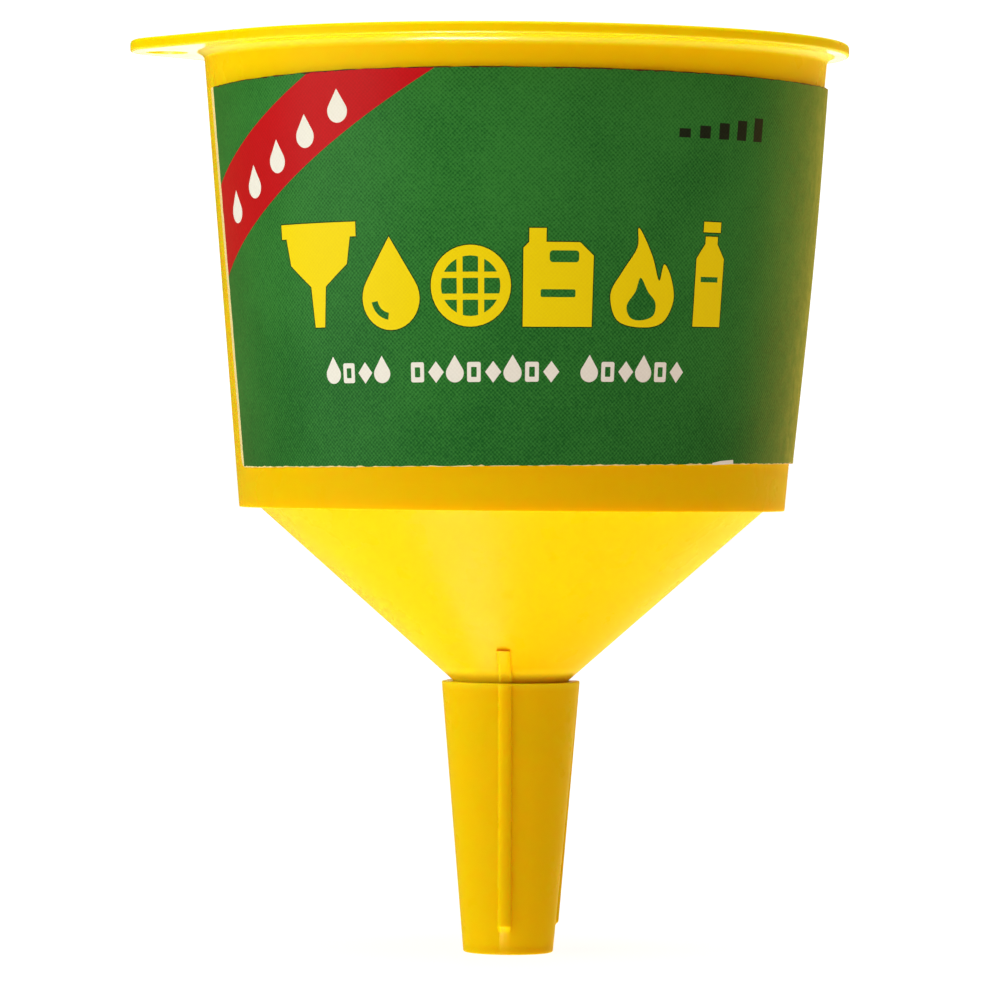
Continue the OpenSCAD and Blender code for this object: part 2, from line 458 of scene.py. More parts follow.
def make_strainer_frame():
    """The ring with its upstand, and the cross bars and hub that carry the screen."""
    low_z = frame_low.z
    foot_z = low_z + FRAME_FOOT_T
    outer = frame_high.x
    section = rounded([
        (FRAME_HOLE_R, low_z, 0.15 * MM),
        (outer, low_z, 0.3 * MM),
        (outer, frame_high.z, 0.35 * MM),
        (outer - RIM_T, frame_high.z, 0.35 * MM),
        (outer - RIM_T, foot_z, 0.08 * MM),
        (FRAME_HOLE_R, foot_z, 0.15 * MM),
    ])
    vertices, faces = ring_mesh(section, 288)
    ring = new_piece("strainer_frame_ring", vertices, faces, "strainer", "strainer_frame")
    hub = rounded([
        (0, low_z, 0),
        (HUB_R, low_z, 0.2 * MM),
        (HUB_R, foot_z, 0.2 * MM),
        (0, foot_z, 0),
    ])
    vertices, faces = ring_mesh(hub, 64)
    combine(ring, new_solid("hub", vertices, faces), "UNION")
    inset = 0.02 * MM
    for angle in (math.radians(45), math.radians(135)):
        bar = make_bar(2 * FRAME_HOLE_R + MM, BAR_W, low_z + inset, foot_z - inset, angle)
        combine(ring, bar, "UNION")
    even_shading(ring)
    return ring


def make_clamp_ring():
    """The ring that holds the screen down, with two finger tabs to lift it by."""
    low_z = clamp_low.z
    ring_z = low_z + CLAMP_T
    outer = clamp_high.x
    section = rounded([
        (FRAME_HOLE_R, low_z, 0.15 * MM),
        (outer, low_z, 0.15 * MM),
        (outer, ring_z, 0.25 * MM),
        (FRAME_HOLE_R, ring_z, 0.35 * MM),
    ])
    vertices, faces = ring_mesh(section, 288)
    ring = new_piece(
        "clamp_ring_moulding", vertices, faces, "strainer", "strainer_clamp_ring"
    )
    tab_r = outer - 0.2 * MM
    tab_low_z = low_z + 0.7 * MM
    tab_t = 1.2 * MM
    lip = 1.8 * MM
    tab = rounded([
        (tab_r, tab_low_z, 0),
        (tab_r, clamp_high.z, 0.4 * MM),
        (tab_r - tab_t - lip, clamp_high.z, 0.4 * MM),
        (tab_r - tab_t - lip, clamp_high.z - tab_t, 0.4 * MM),
        (tab_r - tab_t, clamp_high.z - tab_t, 0.6 * MM),
        (tab_r - tab_t, tab_low_z, 0),
    ])
    for side in (0, math.pi):
        vertices, faces = sector_mesh(tab, side - TAB_SWEEP / 2, side + TAB_SWEEP / 2, 20)
        solid = new_solid("tab", vertices, faces)
        apply_modifier(
            solid, "BEVEL", width=0.3 * MM, segments=3, limit_method="ANGLE", angle_limit=math.radians(60)
        )
        combine(ring, solid, "UNION")
    even_shading(ring)
    return ring


def woven_layer(name, along_x, first_phase, node):
    """Parallel round wires that pass over and under those of the other layer."""
    wire_r = (weft_high.z - weft_low.z) / 2
    middle_z = (weft_low.z + warp_high.z) / 2
    screen_r = weft_high.x
    steepest = wire_r * math.pi / WIRE_PITCH
    count = int(screen_r / WIRE_PITCH - 0.5)
    sides = 6
    steps = 4
    vertices = []
    faces = []
    for i in range(-count, count + 1):
        aside = i * WIRE_PITCH
        half = math.sqrt(screen_r**2 - aside**2)
        rings = max(2, round(2 * half / WIRE_PITCH * steps))
        first = len(vertices)
        for k in range(rings + 1):
            along = -half + 2 * half * k / rings
            phase = math.pi * (along / WIRE_PITCH + i + first_phase)
            wave = math.cos(phase)
            lean = math.atan(-math.sin(phase) * steepest)
            for s in range(sides):
                turn = 2 * math.pi * s / sides
                across = wire_r * math.cos(turn)
                lift = wire_r * math.sin(turn)
                run = along - lift * math.sin(lean)
                z = middle_z + wire_r * wave + lift * math.cos(lean)
                place = (run, aside + across, z) if along_x else (aside + across, run, z)
                vertices.append(place)
        for k in range(rings):
            for s in range(sides):
                t = (s + 1) % sides
                a = first + k * sides
                b = a + sides
                faces.append((a + s, a + t, b + t, b + s))
        faces.append(tuple(first + s for s in range(sides)))
        faces.append(tuple(first + rings * sides + s for s in range(sides)))
    return new_piece(name, vertices, faces, "strainer", node)


# ---- Label --------------------------------------------------------------------------------------------

PAPER_T = 0.25 * MM
GLUE_T = 0.05 * MM
LABEL_START = math.radians(-75.5)
LABEL_END = LABEL_START + 2 * math.pi - 2 * LABEL_GAP
LABEL_MID_R_MM = 37.0
LABEL_H_MM = (LABEL_HIGH_Z - LABEL_LOW_Z) / MM
LEFT_SLANT_MM = 1.3
MARGIN_MM = 1.1
TRAP_MM = 0.13

# The label is drawn flat: s runs round the bowl from the front and t up from the lower edge, both in mm.
GREEN, RED, YELLOW, WHITE, BLACK, CORE, PAINTED_TOP_SHADE, SHADE = range(8)


def s_at(degrees):
    return math.radians(degrees) * LABEL_MID_R_MM


def circle_points(s, t, radius, start=0.0, end=360.0, steps=28):
    return [
        (s + radius * math.cos(math.radians(a)), t + radius * math.sin(math.radians(a)))
        for a in (start + (end - start) * k / steps for k in range(steps + (end - start < 360)))
    ]


def box_points(s, t, width, height, corner=0.0):
    """A rectangle centred on (s, t), with round corners where corner is above 0."""
    if corner <= 0:
        corner = 0.001
    points = []
    for side_s, side_t, start in ((1, 1, 0), (-1, 1, 90), (-1, -1, 180), (1, -1, 270)):
        centre_s = s + side_s * (width / 2 - corner)
        centre_t = t + side_t * (height / 2 - corner)
        points += circle_points(centre_s, centre_t, corner, start, start + 90, 5)
    return points


def drop_points(s, t, height):
    """A drop with its point up, centred on (s, t)."""
    radius = height * 0.34
    middle = t - height / 2 + radius
    tip = (s, t + height / 2)
    side = math.degrees(math.asin(radius / (tip[1] - middle)))
    return [tip] + circle_points(s, middle, radius, 180 - side, 360 + side, 24)


# Every picture takes its centre, its height, its own colour and the colour that shows through its holes.


def draw_funnel(s, t, height, colour, ground):
    """A funnel seen from the side."""
    half = height / 2
    mouth = height * 0.47
    outline = [
        (s - mouth, t + half),
        (s - mouth, t + half * 0.72),
        (s - mouth * 0.86, t + half * 0.72),
        (s - mouth * 0.76, t + half * 0.2),
        (s - mouth * 0.2, t - half * 0.22),
        (s - mouth * 0.13, t - half),
        (s + mouth * 0.13, t - half),
        (s + mouth * 0.2, t - half * 0.22),
        (s + mouth * 0.76, t + half * 0.2),
        (s + mouth * 0.86, t + half * 0.72),
        (s + mouth, t + half * 0.72),
        (s + mouth, t + half),
    ]
    return [(outline, colour)]


def draw_drop(s, t, height, colour, ground):
    """A drop with a curved glint cut out of it."""
    radius = height * 0.34
    middle = t - height / 2 + radius
    outer = circle_points(s, middle, radius * 0.68, 190, 262, 8)
    inner = circle_points(s, middle, radius * 0.46, 262, 190, 8)
    return [(drop_points(s, t, height), colour), (outer + inner, ground)]


def draw_screen(s, t, height, colour, ground):
    """A round screen: a ring with bars across it."""
    radius = height * 0.47
    inner = radius * 0.74
    shapes = [(circle_points(s, t, radius, steps=40), colour), (circle_points(s, t, inner, steps=36), ground)]
    bar = radius * 0.15
    for offset in (-0.36, 0.36):
        reach = math.sqrt(inner**2 - (inner * offset) ** 2) + 0.2
        shapes.append((box_points(s + inner * offset, t, bar, 2 * reach), colour))
        shapes.append((box_points(s, t + inner * offset, 2 * reach, bar), colour))
    return shapes


def draw_can(s, t, height, colour, ground):
    """A can with a handle and a short spout."""
    half = height / 2
    width = height * 0.72
    body = [
        (s - width / 2, t - half),
        (s + width / 2, t - half),
        (s + width / 2, t + half * 0.45),
        (s + width * 0.3, t + half * 0.72),
        (s - width * 0.42, t + half * 0.72),
        (s - width / 2, t + half * 0.6),
    ]
    neck = box_points(s - width * 0.3, t + half * 0.86, width * 0.24, half * 0.28)
    grip = box_points(s + width * 0.08, t + half * 0.43, width * 0.42, half * 0.24, 0.4)
    panel = box_points(s, t - half * 0.32, width * 0.5, half * 0.16, 0.2)
    return [(body, colour), (neck, colour), (grip, ground), (panel, ground)]


def smooth_loop(points, steps=5):
    """A closed curve through the given points."""
    curve = []
    count = len(points)
    for i in range(count):
        p = [Vector(points[(i + k - 1) % count]) for k in range(4)]
        for k in range(steps):
            u = k / steps
            a = 2 * p[1] + (p[2] - p[0]) * u
            b = (2 * p[0] - 5 * p[1] + 4 * p[2] - p[3]) * u**2
            c = (3 * p[1] - p[0] - 3 * p[2] + p[3]) * u**3
            curve.append(tuple((a + b + c) / 2))
    return curve


# Points on the flame's outlines, as shares of its height from the middle of its foot.
FLAME = [
    (0, 0), (0.25, 0.05), (0.37, 0.27), (0.33, 0.5), (0.24, 0.64), (0.19, 0.47), (0.1, 0.72), (-0.06, 1.0),
    (-0.07, 0.8), (-0.22, 0.56), (-0.34, 0.33), (-0.26, 0.07),
]
TONGUE = [
    (0, 0.07), (0.14, 0.12), (0.16, 0.25), (0.07, 0.36), (-0.02, 0.5), (-0.07, 0.36), (-0.16, 0.22),
    (-0.12, 0.1),
]


def draw_flame(s, t, height, colour, ground):
    """A flame with an inner tongue cut out."""
    low = t - height / 2

    def placed(shape):
        return smooth_loop([(s + x * height, low + y * height) for x, y in shape])

    return [(placed(FLAME), colour), (placed(TONGUE), ground)]


def draw_bottle(s, t, height, colour, ground):
    """A slim bottle with a cap and a level line."""
    half = height / 2
    width = height * 0.34
    body = [
        (s - width / 2, t - half),
        (s + width / 2, t - half),
        (s + width / 2, t + half * 0.3),
        (s + width * 0.22, t + half * 0.58),
        (s + width * 0.22, t + half * 0.72),
        (s - width * 0.22, t + half * 0.72),
        (s - width * 0.22, t + half * 0.58),
        (s - width / 2, t + half * 0.3),
    ]
    cap = box_points(s, t + half * 0.9, width * 0.62, half * 0.2)
    line = box_points(s, t - half * 0.1, width * 0.62, half * 0.1)
    return [(body, colour), (cap, colour), (line, ground)]


def signed_area(shape):
    """Above 0 where the outline runs anticlockwise."""
    return sum(a[0] * b[1] - b[0] * a[1] for a, b in zip(shape, shape[1:] + shape[:1])) / 2


def grown(shape, distance):
    """An outline moved outwards by a distance."""
    if signed_area(shape) < 0:
        shape = shape[::-1]
    moved = []
    for before, here, after in zip(shape[-1:] + shape[:-1], shape, shape[1:] + shape[:1]):
        a = (Vector(here) - Vector(before)).normalized()
        b = (Vector(after) - Vector(here)).normalized()
        out = Vector((a.y + b.y, -a.x - b.x))
        scale = distance / max(0.35, out.length_squared / 2)
        moved.append((here[0] + out.x * scale, here[1] + out.y * scale))
    return moved


def outlined(shapes, ground):
    """The same shapes with a fine dark line of overprint round them."""
    return [(grown(shape, TRAP_MM), SHADE) for shape, colour in shapes if colour != ground] + shapes


def corner_band():
    """The slanting band across the upper left corner, with five drops on it."""
    top = LABEL_H_MM
    left = math.degrees(LABEL_START)
    shapes = [([
        (s_at(left) - 1, 34.0),
        (s_at(-39.9), top + 0.01),
        (s_at(-39.9), top + 1),
        (s_at(-14.2), top + 1),
        (s_at(-14.2), top),
        (s_at(left) - 1, 22.2),
    ], RED)]
    low_s, low_t = s_at(left + 3), 29.6
    high_s, high_t = s_at(-27), top - 1.8
    for share in (0.17, 0.34, 0.51, 0.68, 0.85):
        middle_s = low_s + (high_s - low_s) * share
        middle_t = low_t + (high_t - low_t) * share
        shapes.append((drop_points(middle_s, middle_t, 4.1), WHITE))
    return shapes


def title_pictures():
    """A row of six pictures. Each has its angle, its height and the height of its middle."""
    pictures = (
        (draw_funnel, -40.0, 12.6, 23.2),
        (draw_drop, -23.9, 11.2, 22.0),
        (draw_screen, -8.2, 10.4, 21.6),
        (draw_can, 8.2, 11.8, 22.6),
        (draw_flame, 24.6, 12.0, 22.7),
        (draw_bottle, 39.6, 12.8, 23.3),
    )
    shapes = []
    for picture, degrees, height, middle in pictures:
        shapes += outlined(picture(s_at(degrees), middle, height, YELLOW, GREEN), GREEN)
    return shapes


def small_marks():
    """A line of small drops, frames and diamonds in three groups."""
    first = -37.2
    pitch = 3.70
    gaps = (4, 13)
    t = 11.3
    shapes = []
    for count, k in enumerate(k for k in range(20) if k not in gaps):
        s = s_at(first + pitch * k)
        if count % 3 == 0:
            shapes.append((drop_points(s, 11.7, 3.3), WHITE))
        elif count % 3 == 1:
            shapes.append((box_points(s, t, 1.7, 2.4, 0.25), WHITE))
            shapes.append((box_points(s, t, 0.7, 1.2, 0.1), GREEN))
        else:
            shapes.append(([(s, 10.0), (s + 1.0, t), (s, 12.6), (s - 1.0, t)], WHITE))
    return shapes


def stepped_bars():
    """Five dark bars that rise to the right."""
    shapes = []
    for i in range(5):
        height = 1.1 + 0.45 * i
        shapes.append((box_points(s_at(32 + 4.5 * i), 39.8 + height / 2, 1.6, height), BLACK))
    return shapes


def front_print():
    """The shapes on the front of the label, from the lowest layer to the highest."""
    return corner_band() + title_pictures() + small_marks() + stepped_bars()


def back_print():
    """Three framed pictures on the back of the label."""
    shapes = []
    icons = (draw_can, draw_funnel, draw_screen)
    for i, icon in enumerate(icons):
        middle = s_at(135 + 38 * i)
        shapes.append((box_points(middle, 25, 20, 24, 2.0), WHITE))
        shapes.append((box_points(middle, 25, 19, 23, 1.6), GREEN))
        shapes += icon(middle, 25, 13, YELLOW, GREEN)
    return shapes


def label_outline(rng):
    """The label's cut edge: square at the top, one round corner, and a lower edge that is a little ragged."""
    left = s_at(math.degrees(LABEL_START))
    right = s_at(math.degrees(LABEL_END))
    corner = 1.2
    points = circle_points(left + LEFT_SLANT_MM + corner, corner, corner, 180, 270, 6)
    steps = 300
    for k in range(1, steps):
        s = left + LEFT_SLANT_MM + corner + (right - corner - left - LEFT_SLANT_MM) * k / steps
        points.append((s, rng.uniform(-0.05, 0.05)))
    points.append((right, 0))
    points.append((right, LABEL_H_MM))
    steps = 220
    for k in range(1, steps):
        points.append((right + (left - right) * k / steps, LABEL_H_MM + rng.uniform(-0.04, 0.04)))
    points.append((left, LABEL_H_MM))
    return points


def core_edges(rng):
    """Where the print has worn off the label's edges and the paper shows, and a dark band of painted shade along
    the top edge.
    """
    left = s_at(math.degrees(LABEL_START))
    right = s_at(math.degrees(LABEL_END))
    steps = 420
    low = [(left + (right - left) * k / steps, max(0.0, rng.gauss(0.07, 0.05))) for k in range(steps + 1)]
    low += [(right, -1), (left, -1)]
    side = [(left - 1, -1), (left - 1, LABEL_H_MM + 1)]
    for k in range(61):
        share = k / 60
        edge = left + LEFT_SLANT_MM * share + max(0.7, rng.gauss(MARGIN_MM, 0.05))
        side.append((edge, LABEL_H_MM + 1 - (LABEL_H_MM + 2) * share))
    # Painted shade: a thin dark band along the top edge, where the paper's edge meets the wall.
    top = []
    for k in range(steps + 1):
        top.append((left + (right - left) * k / steps, LABEL_H_MM - max(0.02, rng.gauss(0.1, 0.05))))
    top += [(right, LABEL_H_MM + 1), (left, LABEL_H_MM + 1)]
    tear = [(s_at(43.6), -1), (s_at(43.8), 0.2), (s_at(46), 0.42), (s_at(50.0), 0.56), (s_at(50.6), -1)]
    return [(top, PAINTED_TOP_SHADE), (low, CORE), (side, CORE), (tear, WHITE)]


def stand_off(angle, t):
    """How far the paper lifts off the wall, in mm: most at the right, where it has come unstuck."""
    turned = math.degrees(angle)
    lift = math.exp(-(((turned - 92) / 26) ** 2))
    share = t / LABEL_H_MM
    bulge = 0.17 + 0.26 * math.sin(math.pi * share) + 0.06 * (1 - share)
    return lift * bulge + 0.03 * math.sin(angle * 7 + t * 0.11)


# The run of the label's top edge, in mm: its drop, its slant from side to side, and its bow.
TOP_DROP_MM = 0.14
TOP_SLANT_MM = 0.3
TOP_BOW_MM = 0.56
TOP_SIDE_BOW_MM = 0.3


def top_edge_drop(angle):
    """How far the label's top edge lies below its plane: the paper was wrapped a little askew."""
    across = math.sin(angle)
    drop = TOP_DROP_MM + TOP_SLANT_MM * math.sin(2 * angle)
    drop += TOP_BOW_MM * across**2
    drop += TOP_SIDE_BOW_MM * across**4
    return drop * MM


def label_point(s, t):
    """The place of a flat point on the outside of the label."""
    angle = s / LABEL_MID_R_MM
    lifted = max(0.0, stand_off(angle, t)) * MM
    share = t / LABEL_H_MM
    z = LABEL_LOW_Z + t * MM
    z += math.sin(LABEL_TILT) * bowl_r(z) * math.sin(angle)
    z -= top_edge_drop(angle) * share + LOW_EDGE_DROP * (1 - share)
    r = bowl_r(z) + GLUE_T + PAPER_T + lifted
    return Vector((r * math.sin(angle), -r * math.cos(angle), z))


def grid_lines():
    """The ends of straight lines across the flat label, which let it bend smoothly round the wall."""
    left = s_at(math.degrees(LABEL_START))
    right = s_at(math.degrees(LABEL_END))
    columns = 166
    rows = 12
    lines = []
    for k in range(1, columns):
        s = left + (right - left) * k / columns
        lines.append((Vector((s, -0.5)), Vector((s, LABEL_H_MM + 0.5))))
    for k in range(1, rows):
        t = LABEL_H_MM * k / rows
        lines.append((Vector((left - 0.5, t)), Vector((right + 0.5, t))))
    return lines


def cut_sheet(layers):
    """The flat label's points and coloured faces, cut along every outline: the top layer gives the colour."""
    points = []
    edges = []
    outlines = []
    for shape, _ in layers:
        if signed_area(shape) < 0:
            shape = shape[::-1]
        outlines.append(list(range(len(points), len(points) + len(shape))))
        points += [Vector(p) for p in shape]
    for ends in grid_lines():
        edges.append((len(points), len(points) + 1))
        points += ends
    flat, _, faces, _, _, face_layers = delaunay_2d_cdt(points, edges, outlines, 0, 1e-4, True)
    coloured = [(face, layers[max(found)][1]) for face, found in zip(faces, face_layers) if 0 in found]
    return flat, coloured


def make_label():
    """The printed paper as one sheet, cut along the print's outlines so that each colour has its own faces."""
    rng = random.Random(7)
    layers = [(label_outline(rng), GREEN)] + front_print() + back_print() + core_edges(rng)
    flat, coloured = cut_sheet(layers)
    used = {}
    fronts = []
    faces_of_edge = {}
    for face, colour in coloured:
        face = [used.setdefault(i, len(used)) for i in face]
        fronts.append((face, colour))
        for a, b in zip(face, face[1:] + face[:1]):
            faces_of_edge.setdefault(frozenset((a, b)), []).append((a, b))
    outside = [label_point(*flat[i]) for i in used]
    inside = [p - Vector((p.x, p.y, 0)).normalized() * PAPER_T for p in outside]
    count = len(outside)
    solid = [(tuple(face), colour) for face, colour in fronts]
    solid += [(tuple(i + count for i in reversed(face)), CORE) for face, _ in fronts]
    for uses in faces_of_edge.values():
        if len(uses) == 1:
            a, b = uses[0]
            solid.append(((b, a, a + count, b + count), CORE))
    faces = [face for face, _ in solid]
    label = new_piece("printed_label", outside + inside, faces, "funnel", "label")
    label.data.polygons.foreach_set("material_index", [colour for _, colour in solid])
    return label


# ---- Materials ----------------------------------------------------------------------------------------


class Nodes:
    """A small helper that adds shader nodes and links them."""

    def __init__(self, name):
        self.material = bpy.data.materials.new(name)
        self.material.use_nodes = True
        self.tree = self.material.node_tree
        self.tree.nodes.clear()
        self.output = self.add("ShaderNodeOutputMaterial")
        self.shader = self.add("ShaderNodeBsdfPrincipled")
        self.link(self.shader.outputs["BSDF"], self.output.inputs["Surface"])
        self.place = self.add("ShaderNodeTexCoord").outputs["Object"]

    def add(self, kind, **settings):
        node = self.tree.nodes.new(kind)
        for key, value in settings.items():
            setattr(node, key, value)
        return node

    def link(self, source, target):
        self.tree.links.new(source, target)

    def feed(self, target, value):
        """Links a socket, or sets a plain value."""
        if isinstance(value, bpy.types.NodeSocket):
            self.link(value, target)
        else:
            target.default_value = value

    def stretched(self, scale):
        """The object's own coordinates, stretched by a scale for each axis."""
        node = self.add("ShaderNodeMapping")
        self.link(self.place, node.inputs["Vector"])
        node.inputs["Scale"].default_value = scale
        return node.outputs["Vector"]

    def noise(self, scale, detail=2.0, roughness=0.5, place=None):
        node = self.add("ShaderNodeTexNoise")
        self.link(place or self.place, node.inputs["Vector"])
        node.inputs["Scale"].default_value = scale
        node.inputs["Detail"].default_value = detail
        node.inputs["Roughness"].default_value = roughness
        return node.outputs["Fac"]

    def spread(self, value, low, high, to_low, to_high):
        """Maps a value from one range to another, and holds it at the ends of that range."""
        node = self.add("ShaderNodeMapRange", clamp=True)
        self.link(value, node.inputs["Value"])
        for key, number in zip(("From Min", "From Max", "To Min", "To Max"), (low, high, to_low, to_high)):
            node.inputs[key].default_value = number
        return node.outputs["Result"]

    def mix(self, share, first, second):
        """A blend of two colours, which are inputs 6 and 7 and output 2 of the node."""
        node = self.add("ShaderNodeMix", data_type="RGBA")
        self.feed(node.inputs[0], share)
        self.feed(node.inputs[6], first)
        self.feed(node.inputs[7], second)
        return node.outputs[2]

    def calculate(self, operation, first, second=0.0):
        """One step of arithmetic between sockets or plain numbers."""
        node = self.add("ShaderNodeMath", operation=operation)
        self.feed(node.inputs[0], first)
        self.feed(node.inputs[1], second)
        return node.outputs[0]

    def sum(self, first, second):
        return self.calculate("ADD", first, second)

    def product(self, first, second):
        return self.calculate("MULTIPLY", first, second)

    def axes(self):
        """The object's own x, y and z."""
        node = self.add("ShaderNodeSeparateXYZ")
        self.link(self.place, node.inputs["Vector"])
        return node.outputs

    def close_to(self, value, middle, near, far, strength):
        """A strength that holds up to near from the middle value, and falls to none at far."""
        return self.spread(self.calculate("ABSOLUTE", self.sum(value, -middle)), near, far, strength, 0)

    def bump(self, height, distance):
        """Gives the surface a fine relief, at most the distance high."""
        node = self.add("ShaderNodeBump")
        node.inputs["Strength"].default_value = 1.0
        node.inputs["Distance"].default_value = distance
        self.link(height, node.inputs["Height"])
        self.link(node.outputs["Normal"], self.shader.inputs["Normal"])


PLASTIC_DEEP = (0.90, 0.57, 0.0003, 1)
PLASTIC_LIGHT = (0.96, 0.62, 0.0006, 1)
# The next two tints are painted light: a paler yellow where the plastic should look more brightly lit, and a
# bright yellow for painted highlights.
PLASTIC_PAINTED_PALE = (0.97, 0.74, 0.001, 1)
PLASTIC_PAINTED_HIGHLIGHT = (1.0, 0.88, 0.03, 1)


def plastic_material(name, specular, smoothest, roughest):
    """Moulded polyethylene: satin, a little translucent, with faint turning marks left by the mould.

    Painted light makes it paler up the wall, in the flange and down the spout, and painted highlights make it
    brightest in two inner corners: the cove under the flange and the seam between cone and spout.
    """
    nodes = Nodes(name)
    shader = nodes.shader
    tint = nodes.mix(nodes.noise(35, 3), PLASTIC_DEEP, PLASTIC_LIGHT)
    z = nodes.axes()["Z"]
    # Painted light: a paler tint up the wall, in the flange and down the spout stands in for the brighter light
    # there.
    wall = nodes.spread(z, FOOT_Z, FLANGE_LOW_Z, 0, 0.45)
    flange = nodes.spread(z, FLANGE_LOW_Z - 1.8 * MM, FLANGE_LOW_Z - 0.5 * MM, 0, 1)
    below_seam = nodes.calculate("LESS_THAN", z, SPOUT_H)
    painted_pale_down_spout = nodes.product(nodes.spread(z, SPOUT_H, 0, 0.2, 0.4), below_seam)
    painted_pale_share = nodes.calculate("MAXIMUM", nodes.calculate("MAXIMUM", wall, flange), painted_pale_down_spout)
    tint = nodes.mix(painted_pale_share, tint, PLASTIC_PAINTED_PALE)
    # Painted light: a bright tint lightens the shaded foot of the cone by the spout, and paints a highlight line
    # along the cove under the flange.
    seam = nodes.close_to(z, SPOUT_H + 0.5 * MM, 0.3 * MM, 1.5 * MM, 0.55)
    cove = nodes.close_to(z, FLANGE_LOW_Z - 0.45 * MM, 0.15 * MM, 0.75 * MM, 0.9)
    tint = nodes.mix(nodes.calculate("MAXIMUM", seam, cove), tint, PLASTIC_PAINTED_HIGHLIGHT)
    nodes.link(tint, shader.inputs["Base Color"])
    shader.inputs["Subsurface Weight"].default_value = 1.0
    shader.inputs["Subsurface Radius"].default_value = (1.0, 0.55, 0.05)
    shader.inputs["Subsurface Scale"].default_value = 1.2 * MM
    shader.inputs["IOR"].default_value = 1.5
    shader.inputs["Specular IOR Level"].default_value = specular
    scuffs = nodes.noise(420, 4, 0.65, nodes.stretched((1, 1, 0.35)))
    scuffed = nodes.spread(scuffs, 0.62, 0.78, 0, 1)
    roughness = nodes.spread(nodes.noise(160, 4), 0.3, 0.7, smoothest, roughest)
    nodes.link(nodes.sum(roughness, nodes.product(scuffed, 0.12)), shader.inputs["Roughness"])
    fine = nodes.noise(2600, 2)
    turning = nodes.noise(1, 3, 0.6, nodes.stretched((6, 6, 1500)))
    relief = nodes.sum(nodes.product(fine, 0.4), turning)
    relief = nodes.sum(relief, nodes.product(scuffed, -0.3))
    nodes.bump(relief, 0.01 * MM)
    return nodes.material


def brass_material():
    """Drawn brass wire, dulled in places."""
    nodes = Nodes("brass_wire")
    shader = nodes.shader
    patches = nodes.noise(300, 4, 0.6)
    tint = nodes.mix(patches, (0.50, 0.33, 0.11, 1), (0.84, 0.62, 0.27, 1))
    nodes.link(tint, shader.inputs["Base Color"])
    shader.inputs["Metallic"].default_value = 1.0
    nodes.link(nodes.spread(patches, 0.3, 0.7, 0.42, 0.24), shader.inputs["Roughness"])
    nodes.bump(nodes.noise(9000, 2), 0.01 * MM)
    return nodes.material


PRINT_PITCH = 0.53 * MM


def print_material(name, light, dark, speckle=0.5):
    """Satin ink on paper, with the fine crossed lines of the printing screen, and painted light that makes it a
    little lighter towards the top.
    """
    nodes = Nodes(name)
    shader = nodes.shader
    x, y, z = nodes.axes()
    angle = nodes.calculate("ARCTAN2", x, nodes.product(y, -1))
    around = nodes.product(angle, LABEL_MID_R_MM * MM)
    turns = 2 * math.pi / PRINT_PITCH
    waves = [nodes.calculate("SINE", nodes.product(place, turns)) for place in (around, z)]
    screen = nodes.product(waves[0], waves[1])
    grain = nodes.sum(nodes.spread(nodes.noise(3400, 3, 0.7), 0.3, 0.7, -0.9, 0.9), screen)
    dots = nodes.spread(grain, -1.2, 1.2, 0.5 - speckle, 0.5 + speckle)
    patches = nodes.spread(nodes.noise(90, 3), 0.35, 0.65, -0.12, 0.12)
    # Painted light: the ink is lighter towards the top of the label, where more light falls.
    painted_top_light = nodes.spread(z, LABEL_LOW_Z, LABEL_HIGH_Z, -0.12, 0.2)
    share = nodes.sum(dots, nodes.sum(patches, painted_top_light))
    nodes.link(nodes.mix(share, dark, light), shader.inputs["Base Color"])
    shader.inputs["IOR"].default_value = 1.45
    shader.inputs["Specular IOR Level"].default_value = 0.17
    nodes.link(nodes.spread(nodes.noise(700, 3), 0.3, 0.7, 0.32, 0.42), shader.inputs["Roughness"])
    nodes.bump(nodes.noise(1400, 4, 0.6), 0.012 * MM)
    return nodes.material


def core_material():
    """The bare fibres of the paper."""
    nodes = Nodes("paper_core")
    shader = nodes.shader
    tint = nodes.mix(nodes.noise(2500, 4, 0.7), (0.82, 0.66, 0.25, 1), (0.98, 0.86, 0.48, 1))
    nodes.link(tint, shader.inputs["Base Color"])
    nodes.link(nodes.spread(nodes.noise(900, 2), 0.3, 0.7, 0.75, 0.9), shader.inputs["Roughness"])
    nodes.bump(nodes.noise(4000, 4, 0.7), 0.03 * MM)
    return nodes.material


# ---- Build --------------------------------------------------------------------------------------------

bowl = make_bowl()
spout = make_spout()
strainer_frame = make_strainer_frame()
clamp_ring = make_clamp_ring()
weft = woven_layer("woven_weft", True, 0, "screen_weft_wires")
warp = woven_layer("woven_warp", False, 1, "screen_warp_wires")
label = make_label()

plastic = plastic_material("yellow_polyethylene", specular=0.04, smoothest=0.24, roughest=0.34)
for piece in (bowl, spout, strainer_frame, clamp_ring):
    piece.data.materials.append(plastic)
# Under the flange and in its cove the bowl is glossier, so that it mirrors the cards there.
glossier = plastic_material("yellow_polyethylene_rim", specular=0.5, smoothest=0.12, roughest=0.2)
bowl.data.materials.append(glossier)
for face in bowl.data.polygons:
    if face.normal.z < FACING_DOWN and face.center.z > COVE_LOW_Z:
        face.material_index = 1
brass = brass_material()
for piece in (weft, warp):
    piece.data.materials.append(brass)
